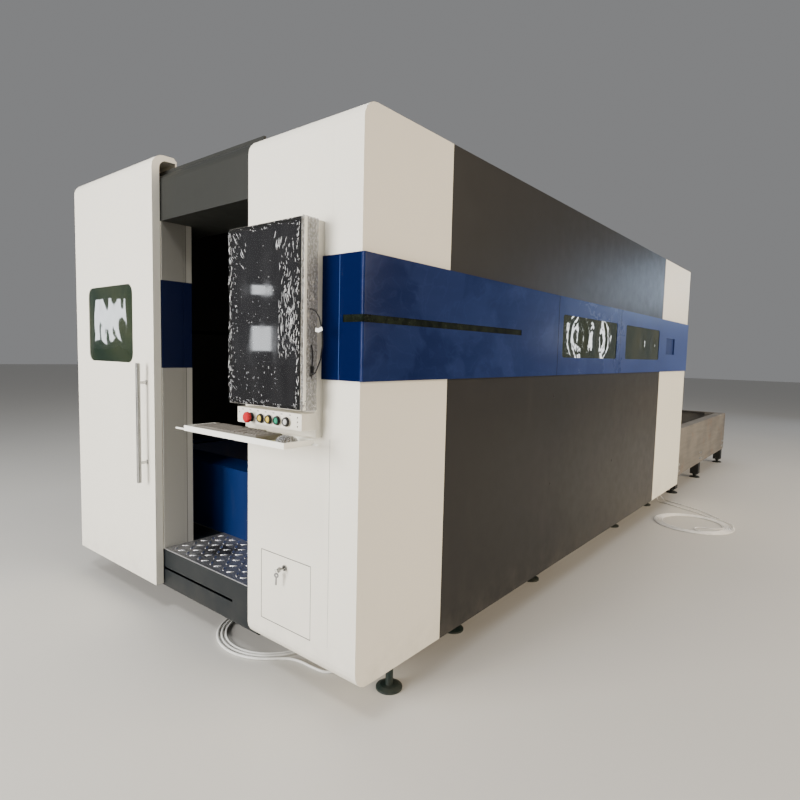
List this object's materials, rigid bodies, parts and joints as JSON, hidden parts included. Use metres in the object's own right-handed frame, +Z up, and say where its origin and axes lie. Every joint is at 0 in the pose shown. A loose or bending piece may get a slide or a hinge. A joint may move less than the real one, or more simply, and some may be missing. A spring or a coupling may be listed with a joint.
{
  "type": "fiber laser cutting machine",
  "caption": "Enclosed flatbed laser cutting machine with a sliding front door, upright console, blue window band and a two-level pallet changer behind it.",
  "frame": {"origin": "on the floor, at the middle of the machine with its exchange frame", "axes": "+Z up, -Y towards the front with the sliding door and the console, +Y along the machine to the exchange frame"},
  "size_m": [3.003, 7.65, 2.355],
  "materials": {
    "white_coat": "warm white powder coat, fine texture, satin",
    "grey_coat": "dark grey powder coat, fine texture",
    "header_grey": "mid grey powder coat",
    "riser_grey": "blue-grey powder coat",
    "blue_gloss": "deep blue gloss paint with wipe marks",
    "bed_blue": "deep blue machine paint",
    "laser_glass": "dark green laser-safe sheet, polished",
    "tread": "bright tread plate with raised drops",
    "steel": "satin brushed",
    "frame_steel": "taupe primer, scuffed",
    "screen_glass": "black glass, polished",
    "keyboard_plastic": "grey-brown, matte",
    "black_plastic": "black, satin",
    "red_plastic": "red, gloss",
    "yellow_plastic": "yellow, gloss",
    "green_plastic": "green, gloss",
    "clear_plastic": "milky clear, gloss",
    "white_sheath": "white sheath, satin"
  },
  "bodies": {
    "machine": {"band_left": "blue_gloss", "band_right": "blue_gloss", "bed_beam_left": "bed_blue", "bed_beam_right": "bed_blue", "bed_front_beam": "bed_blue", "block_cover": "white_coat", "button_panel": "white_coat", "console_box": "white_coat", "console_lead": "black_plastic", "corner_cover_left": "white_coat", "corner_cover_right": "white_coat", "exchange_frame": "frame_steel", "front_cable_coil": "white_sheath", "front_cable_drop": "white_sheath", "front_cable_run": "white_sheath", "header": "header_grey", "keyboard": "keyboard_plastic", "keyboard_tray": "white_coat", "left_front_cover": "white_coat", "monitor": "white_coat", "mouse": "black_plastic", "rear_cover": "white_coat", "rear_hose_coil": "white_sheath", "rear_hose_drop": "white_sheath", "rear_hose_return": "white_sheath", "riser": "riser_grey", "roof": "grey_coat", "screen": "screen_glass", "side_left_mid_1": "grey_coat", "side_left_mid_2": "grey_coat", "side_left_mid_3": "grey_coat", "side_left_rear": "white_coat", "side_right_mid_1": "grey_coat", "side_right_mid_2": "grey_coat", "side_right_mid_3": "grey_coat", "side_right_rear": "white_coat", "slit_pane_left": "laser_glass", "slit_pane_right": "laser_glass", "tread_plate": "tread", "window_left_1": "laser_glass", "window_left_2": "laser_glass", "window_right_1": "laser_glass", "window_right_2": "laser_glass"},
    "door": {"door_panel": "white_coat", "door_pane": "laser_glass", "door_handle": "steel"},
    "roller_left": {"door_roller_1": "steel"},
    "roller_right": {"door_roller_2": "steel"},
    "hatch": {"hatch": "white_coat"},
    "key": {"hatch_key": "steel"},
    "estop": {"estop": "red_plastic"},
    "yellow_one": {"button_yellow_1": "yellow_plastic"},
    "yellow_two": {"button_yellow_2": "yellow_plastic"},
    "green_one": {"button_green": "green_plastic"},
    "clear_one": {"button_clear": "clear_plastic"},
    "gantry": {"gantry": "grey_coat"},
    "carriage": {"x_carriage": "steel"},
    "head": {"cutting_head": "steel"},
    "pallet_upper": {"pallet_upper": "frame_steel"},
    "pallet_lower": {"pallet_lower": "frame_steel"}
  },
  "joints": [
    {"name": "door_slide", "type": "slide", "parent": "machine", "child": "door", "axis": [1, 0, 0], "range_m": [0, 0.785]},
    {"name": "roller_left_turn", "type": "hinge", "parent": "door", "child": "roller_left", "pos_m": [-1.065, -3.54, 2.3033], "axis": [0, 1, 0], "range_deg": [0, 2510]},
    {"name": "roller_right_turn", "type": "hinge", "parent": "door", "child": "roller_right", "pos_m": [-0.385, -3.54, 2.3033], "axis": [0, 1, 0], "range_deg": [0, 2510]},
    {"name": "hatch_hinge", "type": "hinge", "parent": "machine", "child": "hatch", "pos_m": [0.7735, -3.625, 0.2673], "axis": [1, 0, 0], "range_deg": [0, 90]},
    {"name": "key_turn", "type": "hinge", "parent": "hatch", "child": "key", "pos_m": [0.7735, -3.625, 0.518], "axis": [0, -1, 0], "range_deg": [0, 90]},
    {"name": "estop_press", "type": "slide", "parent": "machine", "child": "estop", "axis": [0, 1, 0], "range_m": [0, 0.005], "stiffness_N_per_m": 600},
    {"name": "yellow_one_press", "type": "slide", "parent": "machine", "child": "yellow_one", "axis": [0, 1, 0], "range_m": [0, 0.004], "stiffness_N_per_m": 400},
    {"name": "yellow_two_press", "type": "slide", "parent": "machine", "child": "yellow_two", "axis": [0, 1, 0], "range_m": [0, 0.004], "stiffness_N_per_m": 400},
    {"name": "green_one_press", "type": "slide", "parent": "machine", "child": "green_one", "axis": [0, 1, 0], "range_m": [0, 0.004], "stiffness_N_per_m": 400},
    {"name": "clear_one_press", "type": "slide", "parent": "machine", "child": "clear_one", "axis": [0, 1, 0], "range_m": [0, 0.004], "stiffness_N_per_m": 400},
    {"name": "gantry_slide", "type": "slide", "parent": "machine", "child": "gantry", "axis": [0, 1, 0], "range_m": [-3, 0]},
    {"name": "carriage_slide", "type": "slide", "parent": "gantry", "child": "carriage", "axis": [1, 0, 0], "range_m": [-0.8, 0.8]},
    {"name": "head_slide", "type": "slide", "parent": "carriage", "child": "head", "axis": [0, 0, 1], "range_m": [-0.11, 0]},
    {"name": "upper_pallet_slide", "type": "slide", "parent": "machine", "child": "pallet_upper", "axis": [0, 1, 0], "range_m": [0, 3.07]},
    {"name": "lower_pallet_slide", "type": "slide", "parent": "machine", "child": "pallet_lower", "axis": [0, 1, 0], "range_m": [-3.07, 0]}
  ],
  "couplings": [
    {"joint": "roller_left_turn", "follows": "door_slide", "rad_per_m": 55.556},
    {"joint": "roller_right_turn", "follows": "door_slide", "rad_per_m": 55.556},
    {"joint": "lower_pallet_slide", "follows": "upper_pallet_slide", "ratio": -1}
  ]
}
